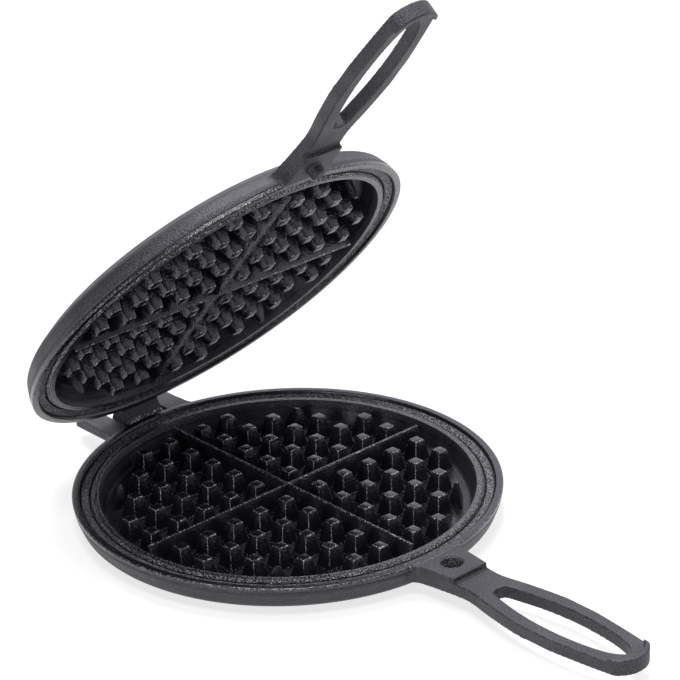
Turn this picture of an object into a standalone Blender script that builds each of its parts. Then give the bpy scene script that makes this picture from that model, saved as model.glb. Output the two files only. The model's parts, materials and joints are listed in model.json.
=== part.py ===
"""Cast iron waffle iron: two round grid plates with loop handles on one hinge pin.

Metres, +Z up. The origin is the centre of the lower plate's flat underside, +X points along
the handles and the hinge pin lies along Y. Each plate is drawn in its own frame: the meeting
plane is z = 0, the iron lies below it, and what reaches over to the other plate lies above.
"""

import math

import bmesh
import bpy
from mathutils import Euler, Matrix, Vector

# Round cooking head, the same on both plates
HEAD_RADIUS = 0.108
HALF_THICKNESS = 0.017
BACK_INSET = 0.014
BAND_HEIGHT = 0.0103
BAND_DRAFT = 0.0030
SHOULDER_DROP = 0.0018
SHOULDER_INSET = 0.0017
CLOSING_GAP = 0.0003
CLEARANCE = 0.0003
HEAD_STEPS = 96

# Rim, from the outside in
LAND_WIDTH = 0.0033
CHANNEL_DEPTH = 0.0009
CHANNEL_WIDTH = 0.0064
RING_WIDTH = 0.0036
RING_FOOT = 0.0004
RING_DROP = 0.0004
WELL_DEPTH = 0.0126
WELL_WALL_DRAFT = 0.0029

# Pegs and dividers of the waffle grid
PEG_PITCH = 0.0169
FIRST_PEG = 0.01115
PEG_TOP = 0.0057
PEG_BASE = 0.0105
PEG_DROP = 0.0009
PEG_EDGE_GAP = 0.0010
DIVIDER_TOP = 0.0011
DIVIDER_BASE = 0.0060
DIVIDER_DROP = 0.0008
DIVIDER_END_GAP = 0.0017

# Pad between the rim and the handle
PAD_LENGTH = 0.021
PAD_THICKNESS = 0.0094
PAD_SEAT = 0.0026
PAD_SIDE_ANGLE = math.radians(7)
PAD_TIGHT_FILLET = 0.0030
PAD_WIDE_FILLET = 0.0065

# Flat loop handle
HANDLE_LENGTH = 0.1296
HANDLE_DROP = 0.0025
HANDLE_THICKNESS = 0.0063
HANDLE_WIDTH = 0.0334
END_ARC_RADIUS = 0.0146
END_CORNER_WIDTH = 0.0236
LIP_HEIGHT = 0.0015
LIP_WIDTH = 0.0030
HANDLE_SEAT = 0.012
# Distance from the pad's end to the end corners, and half the width, along the handle
HANDLE_OUTLINE_SHARES = (
    (0.000, 0.672), (0.105, 0.644), (0.255, 0.826), (0.440, 0.992),
    (0.545, 1.000), (0.655, 0.988), (0.880, 0.826),
)
LOOP_START = 0.018
LOOP_END_WALL = 0.0066
LOOP_SIDE_WALL = 0.00665
LOOP_OUTLINE_SHARES = (
    (0.000, 0.000), (0.006, 0.240), (0.022, 0.440), (0.119, 0.640), (0.262, 0.870),
    (0.429, 0.998), (0.619, 0.985), (0.798, 0.815), (0.929, 0.495), (1.000, 0.000),
)

# Locating stud on the upper pad and its conical hole in the lower pad
LOCATOR_OFFSET = 0.0087
STUD_RADIUS = 0.0045
STUD_HEIGHT = 0.0055
STUD_ROUND = 0.0022
LOCATOR_CLEARANCE = 0.00125
HOLE_DEPTH = 0.0068
HOLE_TAPER = 0.0020

# Hinge: ears on the lower plate, knuckle on the upper one, pin through both
HINGE_OFFSET = 0.0075
HINGE_DROP = 0.0062
PIN_RADIUS = 0.0021
PIN_CHAMFER = 0.0004
PIN_BLIND_WALL = 0.0030
PIN_RECESS = 0.0004
EAR_WIDTH = 0.0542
EAR_THICKNESS = 0.0076
EAR_BEYOND_PIN = 0.0265
EAR_TAPER = 0.0008
EAR_CORNER = 0.0060
EAR_FILLET = 0.0120
EAR_CHAMFER = 0.0034
EAR_SEAT = 0.0080
SLOT_WIDTH = 0.0280
SLOT_WALL_GAP = 0.0009
KNUCKLE_SIDE_GAP = 0.0020
KNUCKLE_WALL = 0.0023
KNUCKLE_RISE = 0.0006
KNUCKLE_NECK = 0.0012
KNUCKLE_BACK_RISE = 0.0030
KNUCKLE_HEIGHT = 0.0092
KNUCKLE_SEAT = 0.0040
OPEN_ANGLE = math.radians(50.2)

OVERRUN = 0.002
MERGE = 0.00001
ROUND_STEPS = 32

LAND_INNER = HEAD_RADIUS - LAND_WIDTH
RING_OUTER = LAND_INNER - CHANNEL_WIDTH
RING_INNER = RING_OUTER - RING_WIDTH
WELL_RADIUS = RING_INNER - WELL_WALL_DRAFT
BACK_RADIUS = HEAD_RADIUS - BACK_INSET
FACE_Z = -CLOSING_GAP / 2
PAD_END = HEAD_RADIUS + PAD_LENGTH
HANDLE_TIP = HEAD_RADIUS + HANDLE_LENGTH
HANDLE_BOTTOM = -HANDLE_DROP - HANDLE_THICKNESS
NECK_HALF = HANDLE_OUTLINE_SHARES[0][1] * HANDLE_WIDTH / 2
LOCATOR_X = HEAD_RADIUS + LOCATOR_OFFSET
HINGE_REACH = HEAD_RADIUS + HINGE_OFFSET
EAR_REACH = HINGE_REACH + EAR_BEYOND_PIN
EAR_TOP = -HINGE_DROP + EAR_THICKNESS / 2
EAR_BOTTOM = EAR_TOP - EAR_THICKNESS
KNUCKLE_WIDTH = SLOT_WIDTH - KNUCKLE_SIDE_GAP * 2
BORE_RADIUS = PIN_RADIUS + CLEARANCE

iron_collection = bpy.data.collections.new("waffle_iron")
cutter_collection = bpy.data.collections.new("cutters")


def clear_scene():
    for old in list(bpy.data.objects):
        bpy.data.objects.remove(old, do_unlink=True)
    bpy.context.scene.collection.children.link(iron_collection)
    bpy.context.scene.collection.children.link(cutter_collection)


def metal(name, color, roughness, metallic):
    material = bpy.data.materials.new(name)
    material.use_nodes = True
    shader = material.node_tree.nodes["Principled BSDF"]
    shader.inputs["Base Color"].default_value = (*color, 1.0)
    shader.inputs["Roughness"].default_value = roughness
    shader.inputs["Metallic"].default_value = metallic
    return material


def place(obj, parent, matrix=None):
    """Hang an object under an empty; the matrix is its place in the empty's frame."""
    obj.parent = parent
    obj.matrix_basis = matrix or Matrix.Identity(4)
    return obj


def keep_as_tool(obj):
    """Shapes that are joined to a casting or cut from it are guides, not parts."""
    cutter_collection.objects.link(obj)
    obj.hide_render = True
    obj.display_type = "WIRE"
    return obj


def combine(obj, tool, operation):
    step = obj.modifiers.new(tool.name, "BOOLEAN")
    step.operation = operation
    step.solver = "EXACT"
    step.object = tool


def mesh_object(name, bm):
    mesh = bpy.data.meshes.new(name)
    bm.to_mesh(mesh)
    bm.free()
    return bpy.data.objects.new(name, mesh)


def arc(center, radius, start, end, steps):
    """Points on an arc, both ends included; angles in degrees."""
    points = []
    for step in range(steps + 1):
        angle = math.radians(start + (end - start) * step / steps)
        points.append((center[0] + radius * math.cos(angle), center[1] + radius * math.sin(angle)))
    return points


def smooth(stations, steps):
    """A curve through the stations, each stretch bent by its two neighbours."""
    points = []
    last = len(stations) - 1
    for index in range(last):
        before = Vector(stations[max(index - 1, 0)])
        first = Vector(stations[index])
        second = Vector(stations[index + 1])
        after = Vector(stations[min(index + 2, last)])
        for step in range(steps):
            t = step / steps
            bend = (second - before) * t + (before * 2 - first * 5 + second * 4 - after) * t ** 2
            bend += (first * 3 - before - second * 3 + after) * t ** 3
            points.append(tuple(first + bend / 2))
    points.append(tuple(stations[last]))
    return points


def mirrored(points):
    """The outline's other side, walked back to the start."""
    return [(x, -y) for x, y in reversed(points)]


def plate_shape(name, loops, bottom, top):
    """A flat outline, with any holes in it, as a solid between two heights."""
    curve = bpy.data.curves.new(name, "CURVE")
    curve.dimensions = "2D"
    curve.fill_mode = "BOTH"
    curve.extrude = (top - bottom) / 2
    for points in loops:
        spline = curve.splines.new("POLY")
        spline.points.add(len(points) - 1)
        for point, (x, y) in zip(spline.points, points):
            point.co = (x, y, 0, 1)
        spline.use_cyclic_u = True
    outline = bpy.data.objects.new(name + "_outline", curve)
    outline.location.z = (top + bottom) / 2
    bpy.context.scene.collection.objects.link(outline)
    bpy.context.view_layer.update()
    depsgraph = bpy.context.evaluated_depsgraph_get()
    mesh = bpy.data.meshes.new_from_object(outline.evaluated_get(depsgraph))
    mesh.transform(outline.matrix_world)
    bpy.data.objects.remove(outline, do_unlink=True)
    bm = bmesh.new()
    bm.from_mesh(mesh)
    bmesh.ops.remove_doubles(bm, verts=bm.verts, dist=MERGE)
    bmesh.ops.recalc_face_normals(bm, faces=bm.faces)
    bm.to_mesh(mesh)
    bm.free()
    return bpy.data.objects.new(name, mesh)


def turned_shape(name, profile, steps):
    """A profile in (radius, height), walked from its top to its bottom, turned about Z."""
    bm = bmesh.new()
    verts = [bm.verts.new((radius, 0, height)) for radius, height in profile]
    for first, second in zip(verts, verts[1:]):
        bm.edges.new((first, second))
    obj = mesh_object(name, bm)
    screw = obj.modifiers.new("turn", "SCREW")
    screw.steps = steps
    screw.render_steps = steps
    screw.use_merge_vertices = True
    screw.merge_threshold = MERGE
    return obj


def rod_shape(name, radius, start, end):
    """A plain round bar along Y."""
    bm = bmesh.new()
    turn = Matrix.Translation((0, (start + end) / 2, 0)) @ Euler((math.pi / 2, 0, 0)).to_matrix().to_4x4()
    bmesh.ops.create_cone(
        bm, cap_ends=True, segments=ROUND_STEPS, radius1=radius, radius2=radius, depth=end - start, matrix=turn,
    )
    return mesh_object(name, bm)


def box_shape(name, low, high):
    bm = bmesh.new()
    size = Vector(high) - Vector(low)
    middle = (Vector(high) + Vector(low)) / 2
    bmesh.ops.create_cube(bm, size=1.0, matrix=Matrix.Translation(middle) @ Matrix.Diagonal((*size, 1.0)))
    return mesh_object(name, bm)


def head_profile():
    """Half section of a head: well, ring, channel, land, outer band, shoulder, flat back."""
    return [
        (0, -WELL_DEPTH),
        (WELL_RADIUS, -WELL_DEPTH),
        (RING_INNER, -RING_DROP),
        (RING_OUTER, -RING_DROP),
        (RING_OUTER + RING_FOOT, -CHANNEL_DEPTH),
        (LAND_INNER, -CHANNEL_DEPTH),
        (LAND_INNER + RING_FOOT, FACE_Z),
        (HEAD_RADIUS, FACE_Z),
        (HEAD_RADIUS - BAND_DRAFT, -BAND_HEIGHT),
        (HEAD_RADIUS - BAND_DRAFT - SHOULDER_INSET, -BAND_HEIGHT - SHOULDER_DROP),
        (BACK_RADIUS, -HALF_THICKNESS),
        (0, -HALF_THICKNESS),
    ]


def peg_places():
    """Centres of the pegs whose feet fit in the well, and of the diagonal ones that fit by half."""
    whole = []
    halved = []
    reach = WELL_RADIUS - PEG_EDGE_GAP
    half = PEG_BASE / 2
    count = int((reach - FIRST_PEG) / PEG_PITCH) + 1
    for row in range(count):
        for step in range(count):
            x = FIRST_PEG + step * PEG_PITCH
            y = FIRST_PEG + row * PEG_PITCH
            if math.hypot(x + half, y + half) < reach:
                places = whole
            elif row == step and math.hypot(x + half, y - half) < reach:
                places = halved
            else:
                continue
            places += [(x, y), (-x, y), (x, -y), (-x, -y)]
    return whole, halved


def add_peg(bm, x, y):
    """A four-sided peg, narrower at the top, with its foot sunk into the well's floor."""
    top = -PEG_DROP
    foot = -WELL_DEPTH - OVERRUN
    flare = (PEG_BASE - PEG_TOP) / (WELL_DEPTH - PEG_DROP)
    foot_width = PEG_BASE + flare * OVERRUN
    turn = Matrix.Translation((x, y, (top + foot) / 2)) @ Matrix.Rotation(math.pi / 4, 4, "Z")
    made = bmesh.ops.create_cone(
        bm, cap_ends=True, segments=4, radius1=foot_width / math.sqrt(2), radius2=PEG_TOP / math.sqrt(2),
        depth=top - foot, matrix=turn,
    )
    return made["verts"]


def add_corner_peg(bm, x, y):
    """A corner peg: its outer half is cut off along the foot's diagonal, leaning like its sides."""
    verts = add_peg(bm, x, y)
    faces = list({face for vert in verts for face in vert.link_faces})
    edges = list({edge for vert in verts for edge in vert.link_edges})
    outward = Vector((x, y, 0)).normalized()
    lean = (PEG_BASE - PEG_TOP) / 2 / (WELL_DEPTH - PEG_DROP)
    cut = bmesh.ops.bisect_plane(
        bm, geom=verts + edges + faces, dist=MERGE, plane_co=(x, y, -WELL_DEPTH),
        plane_no=outward + Vector((0, 0, lean)), clear_outer=True,
    )
    rim = [piece for piece in cut["geom_cut"] if isinstance(piece, bmesh.types.BMEdge)]
    bmesh.ops.holes_fill(bm, edges=rim, sides=0)


def grid_pegs(name):
    bm = bmesh.new()
    whole, halved = peg_places()
    for x, y in whole:
        add_peg(bm, x, y)
    for x, y in halved:
        add_corner_peg(bm, x, y)
    bmesh.ops.recalc_face_normals(bm, faces=bm.faces)
    return mesh_object(name, bm)


def divider(name, angle):
    """A thin ridge right across the well, wide at its foot."""
    top = -DIVIDER_DROP
    foot = -WELL_DEPTH - OVERRUN
    flare = (DIVIDER_BASE - DIVIDER_TOP) / (WELL_DEPTH - DIVIDER_DROP)
    foot_half = (DIVIDER_BASE + flare * OVERRUN) / 2
    bm = bmesh.new()
    reach = WELL_RADIUS - DIVIDER_END_GAP
    size = Matrix.Diagonal((reach * 2, foot_half * 2, top - foot, 1.0))
    bmesh.ops.create_cube(bm, size=1.0, matrix=Matrix.Translation((0, 0, (top + foot) / 2)) @ size)
    for vert in bm.verts:
        if vert.co.z > foot / 2 + top / 2:
            vert.co.y *= DIVIDER_TOP / 2 / foot_half
    bmesh.ops.rotate(bm, verts=bm.verts, cent=(0, 0, 0), matrix=Matrix.Rotation(angle, 3, "Z"))
    return mesh_object(name, bm)


def pad_side(fillet):
    """One side of the pad, from the handle's neck to the rim, with a fillet in the corner there."""
    outward = Vector((math.sin(PAD_SIDE_ANGLE), math.cos(PAD_SIDE_ANGLE)))
    inward = Vector((-outward.y, outward.x))
    start = Vector((PAD_END, NECK_HALF)) + outward * fillet
    slant = start.dot(inward)
    run = -slant - math.sqrt(slant ** 2 - start.length_squared + (HEAD_RADIUS + fillet) ** 2)
    center = start + inward * run
    side_angle = -90 - math.degrees(PAD_SIDE_ANGLE)
    head_angle = math.degrees(math.atan2(-center.y, -center.x))
    return [(PAD_END, NECK_HALF)] + arc(center, fillet, side_angle, head_angle, 6)


def pad(name):
    """The raised pad: it starts on the land, narrows to the handle's neck and thins to its height."""
    tight_side = pad_side(PAD_TIGHT_FILLET)
    wide_side = pad_side(PAD_WIDE_FILLET)
    tight_angle = math.degrees(math.atan2(tight_side[-1][1], tight_side[-1][0]))
    wide_angle = math.degrees(math.atan2(wide_side[-1][1], wide_side[-1][0]))
    seat = arc((0, 0), HEAD_RADIUS - PAD_SEAT, tight_angle, -wide_angle, 8)
    shape = plate_shape(name, [tight_side + seat + mirrored(wide_side)], -PAD_THICKNESS, FACE_Z)
    for vert in shape.data.vertices:
        if vert.co.z < HANDLE_BOTTOM and vert.co.x > HEAD_RADIUS:
            share = (vert.co.x - HEAD_RADIUS) / PAD_LENGTH
            vert.co.z += share * (PAD_THICKNESS + HANDLE_BOTTOM)
    return shape


def handle(name):
    """The flat handle with its loop; the raised lip is what stays when the face is cut down."""
    arc_center = HANDLE_TIP - END_ARC_RADIUS
    corner_half = END_CORNER_WIDTH / 2
    corner_angle = math.degrees(math.asin(corner_half / END_ARC_RADIUS))
    corner_x = arc_center + END_ARC_RADIUS * math.cos(math.radians(corner_angle))
    reach = corner_x - PAD_END
    sides = [(PAD_END + along * reach, wide * HANDLE_WIDTH / 2) for along, wide in HANDLE_OUTLINE_SHARES]
    upper_side = [(PAD_END - HANDLE_SEAT, sides[0][1])] + smooth(sides + [(corner_x, corner_half)], 5)[:-1]
    end = arc((arc_center, 0), END_ARC_RADIUS, corner_angle, -corner_angle, 14)
    outline = upper_side + end + mirrored(upper_side)

    loop_x = PAD_END + LOOP_START
    loop_length = HANDLE_TIP - LOOP_END_WALL - loop_x
    loop_half = HANDLE_WIDTH / 2 - LOOP_SIDE_WALL
    loop_side = [(loop_x + along * loop_length, wide * loop_half) for along, wide in LOOP_OUTLINE_SHARES]
    loop_top = smooth(loop_side, 4)
    loop = loop_top + mirrored(loop_top)[1:-1]

    blank = plate_shape(name, [outline, loop], HANDLE_BOTTOM, LIP_HEIGHT - HANDLE_DROP)

    beyond = HANDLE_WIDTH
    lip_center = arc_center - LIP_WIDTH
    recess_end = arc((lip_center, 0), END_ARC_RADIUS, 90, -90, 18)
    recess = [(PAD_END - HANDLE_SEAT - OVERRUN, beyond), (lip_center, beyond)] + recess_end
    recess += [(lip_center, -beyond), (PAD_END - HANDLE_SEAT - OVERRUN, -beyond)]
    face_cut = keep_as_tool(plate_shape(name + "_face_cut", [recess], -HANDLE_DROP, OVERRUN))
    combine(blank, face_cut, "DIFFERENCE")
    return blank, face_cut


def ears_block(name):
    """The hinge bracket in plan: both ears in one, rounded ends, filleted into the head."""
    half = EAR_WIDTH / 2
    fillet_y = half + EAR_FILLET
    fillet_x = -math.sqrt((HEAD_RADIUS + EAR_FILLET) ** 2 - fillet_y ** 2)
    head_angle = math.degrees(math.atan2(-fillet_y, -fillet_x))
    seat_x = -(HEAD_RADIUS - EAR_SEAT)
    fillet = arc((fillet_x, fillet_y), EAR_FILLET, head_angle, -90, 6)
    corner_y = half - EAR_TAPER - EAR_CORNER
    corner = arc((-EAR_REACH + EAR_CORNER, corner_y), EAR_CORNER, 90, 180, 6)
    side = [(seat_x, fillet_y)] + fillet + corner
    return plate_shape(name, [side + mirrored(side)], EAR_BOTTOM, EAR_TOP)


def knuckle(name):
    """The upper plate's knuckle in side view: a neck off the outer wall and a barrel on the pin."""
    barrel = BORE_RADIUS + KNUCKLE_WALL
    center = (-HINGE_REACH, HINGE_DROP)
    neck_x = -(HEAD_RADIUS + KNUCKLE_NECK)
    wall_x = -(HEAD_RADIUS - KNUCKLE_SEAT)
    outline = [(wall_x, -KNUCKLE_RISE), (neck_x, -KNUCKLE_RISE)]
    outline += arc(center, barrel, 0, 180, 12)
    outline += [(-HINGE_REACH - barrel, -KNUCKLE_BACK_RISE), (wall_x, -KNUCKLE_HEIGHT)]
    shape = plate_shape(name, [outline], -KNUCKLE_WIDTH / 2, KNUCKLE_WIDTH / 2)
    shape.data.transform(Matrix.Rotation(math.pi / 2, 4, "X"))
    return shape


def stud(name):
    """The locating stud: a short round peg with a rounded end."""
    top = STUD_HEIGHT + FACE_Z
    dome = arc((STUD_RADIUS - STUD_ROUND, top - STUD_ROUND), STUD_ROUND, 90, 0, 4)
    profile = [(0, top)] + dome + [(STUD_RADIUS, FACE_Z - OVERRUN), (0, FACE_Z - OVERRUN)]
    return turned_shape(name, profile, ROUND_STEPS)


def stud_hole(name):
    """The blind hole for the stud, wider at its mouth."""
    mouth = STUD_RADIUS + LOCATOR_CLEARANCE
    slope = HOLE_TAPER / HOLE_DEPTH
    bottom = FACE_Z - HOLE_DEPTH
    profile = [(0, OVERRUN), (mouth + slope * (OVERRUN - FACE_Z), OVERRUN), (mouth - HOLE_TAPER, bottom), (0, bottom)]
    return turned_shape(name, profile, ROUND_STEPS)


def cast_head(name, frame, flip):
    """What both plates share: head, grid, pad and handle, joined into one casting."""
    casting = turned_shape(name, head_profile(), HEAD_STEPS)
    iron_collection.objects.link(casting)
    place(casting, frame, flip)
    handle_blank, face_cut = handle(name + "_handle")
    place(face_cut, frame, flip)
    tools = [
        grid_pegs(name + "_pegs"),
        divider(name + "_long_divider", 0),
        divider(name + "_cross_divider", math.pi / 2),
        handle_blank,
        pad(name + "_pad"),
    ]
    for tool in tools:
        keep_as_tool(tool)
        place(tool, frame, flip)
        combine(casting, tool, "UNION")
    return casting


def ear_chamfer(name, side):
    """Cuts the bottom outer edge of one ear away at 45 degrees."""
    size = EAR_CHAMFER * math.sqrt(2)
    length = EAR_REACH - HEAD_RADIUS + EAR_SEAT
    bm = bmesh.new()
    turn = Matrix.Translation((-EAR_REACH + length / 2 - OVERRUN, side * EAR_WIDTH / 2, EAR_BOTTOM))
    turn = turn @ Matrix.Rotation(math.pi / 4, 4, "X") @ Matrix.Diagonal((length, size, size, 1.0))
    bmesh.ops.create_cube(bm, size=1.0, matrix=turn)
    return mesh_object(name, bm)


def lower_plate(material):
    frame = bpy.data.objects.new("lower_frame", None)
    frame.location.z = HALF_THICKNESS
    iron_collection.objects.link(frame)
    casting = cast_head("lower_plate", frame, None)
    ears = keep_as_tool(ears_block("lower_plate_ears"))
    place(ears, frame)
    slot_half = SLOT_WIDTH / 2
    slot = box_shape(
        "hinge_slot",
        (-EAR_REACH - OVERRUN, -slot_half, -HALF_THICKNESS),
        (-HEAD_RADIUS - SLOT_WALL_GAP, slot_half, OVERRUN),
    )
    bore = rod_shape("pin_bore", BORE_RADIUS, -EAR_WIDTH / 2 + PIN_BLIND_WALL, EAR_WIDTH / 2 + OVERRUN)
    bore.data.transform(Matrix.Translation((-HINGE_REACH, 0, -HINGE_DROP)))
    hole = stud_hole("stud_hole")
    for tool in (ear_chamfer("near_ear_chamfer", -1), ear_chamfer("far_ear_chamfer", 1), slot, bore):
        keep_as_tool(tool)
        place(tool, frame)
        combine(ears, tool, "DIFFERENCE")
    combine(casting, ears, "UNION")
    keep_as_tool(hole)
    place(hole, frame, Matrix.Translation((LOCATOR_X, 0, 0)))
    combine(casting, hole, "DIFFERENCE")
    casting.data.materials.append(material)
    return casting


def upper_plate(material):
    """The upper plate hangs under an empty on the hinge line, turned over and swung open."""
    hinge = bpy.data.objects.new("hinge_line", None)
    hinge.location = (-HINGE_REACH, 0, HALF_THICKNESS - HINGE_DROP)
    hinge.rotation_euler.y = -OPEN_ANGLE
    iron_collection.objects.link(hinge)
    flip = Matrix.Translation((HINGE_REACH, 0, HINGE_DROP)) @ Matrix.Rotation(math.pi, 4, "X")
    casting = cast_head("upper_plate", hinge, flip)
    knuckle_shape = keep_as_tool(knuckle("upper_plate_knuckle"))
    place(knuckle_shape, hinge, flip)
    bore = rod_shape("knuckle_bore", BORE_RADIUS, -KNUCKLE_WIDTH / 2 - OVERRUN, KNUCKLE_WIDTH / 2 + OVERRUN)
    keep_as_tool(bore)
    place(bore, hinge)
    combine(knuckle_shape, bore, "DIFFERENCE")
    combine(casting, knuckle_shape, "UNION")
    peg = keep_as_tool(stud("locating_stud"))
    place(peg, hinge, flip @ Matrix.Translation((LOCATOR_X, 0, 0)))
    combine(casting, peg, "UNION")
    casting.data.materials.append(material)
    return casting


def hinge_pin(material):
    """Pushed in from the far side up to the near ear's blind end."""
    start = -EAR_WIDTH / 2 + PIN_BLIND_WALL + CLEARANCE
    end = EAR_WIDTH / 2 - PIN_RECESS
    profile = [
        (0, end),
        (PIN_RADIUS - PIN_CHAMFER, end),
        (PIN_RADIUS, end - PIN_CHAMFER),
        (PIN_RADIUS, start + PIN_CHAMFER),
        (PIN_RADIUS - PIN_CHAMFER, start),
        (0, start),
    ]
    pin = turned_shape("hinge_pin", profile, ROUND_STEPS)
    iron_collection.objects.link(pin)
    pin.location = (-HINGE_REACH, 0, HALF_THICKNESS - HINGE_DROP)
    pin.rotation_euler.x = -math.pi / 2
    pin.data.materials.append(material)
    return pin


def shade_round(obj, angle=math.radians(35)):
    obj.data.shade_smooth()
    obj.data.set_sharp_from_angle(angle=angle)


def build():
    clear_scene()
    cast_iron = metal("seasoned_cast_iron", (0.045, 0.044, 0.050), 0.55, 0.6)
    steel = metal("dark_steel", (0.10, 0.10, 0.11), 0.4, 1.0)
    for piece in (lower_plate(cast_iron), upper_plate(cast_iron), hinge_pin(steel)):
        shade_round(piece)
    bpy.context.view_layer.update()


build()
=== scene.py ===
import json
import math
import random

import bmesh
import bpy
from mathutils import Matrix, Vector


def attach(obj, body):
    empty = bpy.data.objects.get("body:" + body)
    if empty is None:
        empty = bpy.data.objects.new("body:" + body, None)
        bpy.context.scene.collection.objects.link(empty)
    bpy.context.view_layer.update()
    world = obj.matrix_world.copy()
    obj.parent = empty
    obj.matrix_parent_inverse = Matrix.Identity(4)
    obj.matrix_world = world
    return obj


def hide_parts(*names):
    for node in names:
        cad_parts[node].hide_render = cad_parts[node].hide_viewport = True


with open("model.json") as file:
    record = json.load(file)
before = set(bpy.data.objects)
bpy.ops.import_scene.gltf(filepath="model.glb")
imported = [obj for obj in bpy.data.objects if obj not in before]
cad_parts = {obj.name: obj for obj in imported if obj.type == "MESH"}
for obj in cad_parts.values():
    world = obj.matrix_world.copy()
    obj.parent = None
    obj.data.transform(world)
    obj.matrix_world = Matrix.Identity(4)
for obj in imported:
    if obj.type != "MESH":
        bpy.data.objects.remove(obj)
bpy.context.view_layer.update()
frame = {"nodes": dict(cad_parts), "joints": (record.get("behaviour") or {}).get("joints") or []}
scene = bpy.context.scene

# Each plate is drawn in its own frame, in metres: the meeting plane is z = 0 and the iron lies
# below it. The lower plate is lifted by its thickness, the upper one is turned over on the hinge.
hinge = frame["joints"][0]
hingeLine = Vector(hinge["pos_m"])
openAngle = math.radians(-hinge["range_deg"][0])
halfThickness = 0.017
hingeReach = -hingeLine.x
hingeDrop = halfThickness - hingeLine.z
lowerPlace = Matrix.Translation((0, 0, halfThickness))
upperPlace = (
    Matrix.Translation(hingeLine)
    @ Matrix.Rotation(-openAngle, 4, "Y")
    @ Matrix.Translation((hingeReach, 0, hingeDrop))
    @ Matrix.Rotation(math.pi, 4, "X")
)
tiny = 0.00001
faceHeight = -0.00015  # the lands stop this far from the meeting plane
roundSides = 40  # sides of the pin's bore, the stud and the stud's hole


# Shaping helpers

def newPiece(name, bm, place, sharpAngle=180):
    # The place goes into the mesh, so that the object itself stays at the origin
    bm.transform(place)
    bmesh.ops.recalc_face_normals(bm, faces=bm.faces)
    mesh = bpy.data.meshes.new(name)
    bm.to_mesh(mesh)
    bm.free()
    mesh.shade_smooth()
    mesh.set_sharp_from_angle(angle=math.radians(sharpAngle))
    piece = bpy.data.objects.new(name, mesh)
    scene.collection.objects.link(piece)
    return piece


def arcPoints(center, radius, start, end, steps):
    points = []
    for step in range(steps + 1):
        angle = math.radians(start + (end - start) * step / steps)
        points.append((center[0] + radius * math.cos(angle), center[1] + radius * math.sin(angle)))
    return points


def smoothPoints(stations, steps):
    # A curve through the stations, each stretch bent by its two neighbours
    points = []
    last = len(stations) - 1
    for index in range(last):
        before = Vector(stations[max(index - 1, 0)])
        first = Vector(stations[index])
        second = Vector(stations[index + 1])
        after = Vector(stations[min(index + 2, last)])
        for step in range(steps):
            t = step / steps
            bend = (second - before) * t + (before * 2 - first * 5 + second * 4 - after) * t ** 2
            bend += (first * 3 - before - second * 3 + after) * t ** 3
            points.append(tuple(first + bend / 2))
    points.append(tuple(stations[last]))
    return points


def mirrored(points):
    return [(x, -y) for x, y in reversed(points)]


def turned(bm, profile, steps):
    # Rounds the corners of a (radius, height, rounding) profile, then spins it about Z
    verts = [bm.verts.new((radius, 0, height)) for radius, height, rounding in profile]
    for pair in zip(verts, verts[1:]):
        bm.edges.new(pair)
    for vert, (radius, height, rounding) in zip(verts, profile):
        if rounding:
            bmesh.ops.bevel(
                bm, geom=[vert], offset=rounding, segments=4, profile=0.5,
                affect="VERTICES", material=-1,
            )
    bmesh.ops.spin(
        bm, geom=bm.verts[:] + bm.edges[:], cent=(0, 0, 0), axis=(0, 0, 1),
        angle=math.tau, steps=steps, use_merge=True,
    )
    bmesh.ops.remove_doubles(bm, verts=bm.verts, dist=tiny)
    bmesh.ops.recalc_face_normals(bm, faces=bm.faces)
    return bm


def slab(loops, bottom, top):
    # A flat outline, with any hole in it, filled and pulled up to its thickness
    bm = bmesh.new()
    for points in loops:
        ring = [bm.verts.new((x, y, bottom)) for x, y in points]
        for pair in zip(ring, ring[1:] + ring[:1]):
            bm.edges.new(pair)
    bmesh.ops.triangle_fill(bm, edges=bm.edges[:], use_beauty=True)
    raised = bmesh.ops.extrude_face_region(bm, geom=bm.faces[:])
    lifted = [part for part in raised["geom"] if isinstance(part, bmesh.types.BMVert)]
    bmesh.ops.translate(bm, verts=lifted, vec=(0, 0, top - bottom))
    bmesh.ops.recalc_face_normals(bm, faces=bm.faces)
    return bm


def rod(radius, start, end, x, z):
    bm = bmesh.new()
    turn = Matrix.Translation((x, (start + end) / 2, z)) @ Matrix.Rotation(math.pi / 2, 4, "X")
    bmesh.ops.create_cone(
        bm, cap_ends=True, segments=roundSides, radius1=radius, radius2=radius,
        depth=end - start, matrix=turn,
    )
    return bm


def block(low, high, tilt=0.0):
    bm = bmesh.new()
    size = Vector(high) - Vector(low)
    place = Matrix.Translation((Vector(high) + Vector(low)) / 2) @ Matrix.Rotation(tilt, 4, "X")
    bmesh.ops.create_cube(bm, size=1.0, matrix=place @ Matrix.Diagonal((*size, 1.0)))
    return bm


def cast(name, base, steps, place, grain, smoothing):
    # Joins and cuts plain shapes in turn, then melts them into one casting with soft edges
    helpers = []

    def helper(bm):
        mesh = bpy.data.meshes.new(name + "_helper")
        bm.to_mesh(mesh)
        bm.free()
        obj = bpy.data.objects.new(name + "_helper", mesh)
        scene.collection.objects.link(obj)
        helpers.append(obj)
        return obj

    body = helper(base)
    for operation, shape in steps:
        step = body.modifiers.new("step", "BOOLEAN")
        step.operation = operation
        step.solver = "EXACT"
        step.object = helper(shape)
    melt = body.modifiers.new("melt", "REMESH")
    melt.mode = "VOXEL"
    melt.voxel_size = grain
    soften = body.modifiers.new("soften", "SMOOTH")
    soften.factor = 0.5
    soften.iterations = smoothing
    bpy.context.view_layer.update()
    melted = body.evaluated_get(bpy.context.evaluated_depsgraph_get())
    mesh = bpy.data.meshes.new_from_object(melted)
    bm = bmesh.new()
    bm.from_mesh(mesh)
    bpy.data.meshes.remove(mesh)
    for obj in helpers:
        bpy.data.objects.remove(obj, do_unlink=True)
    return newPiece(name, bm, place)


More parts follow.
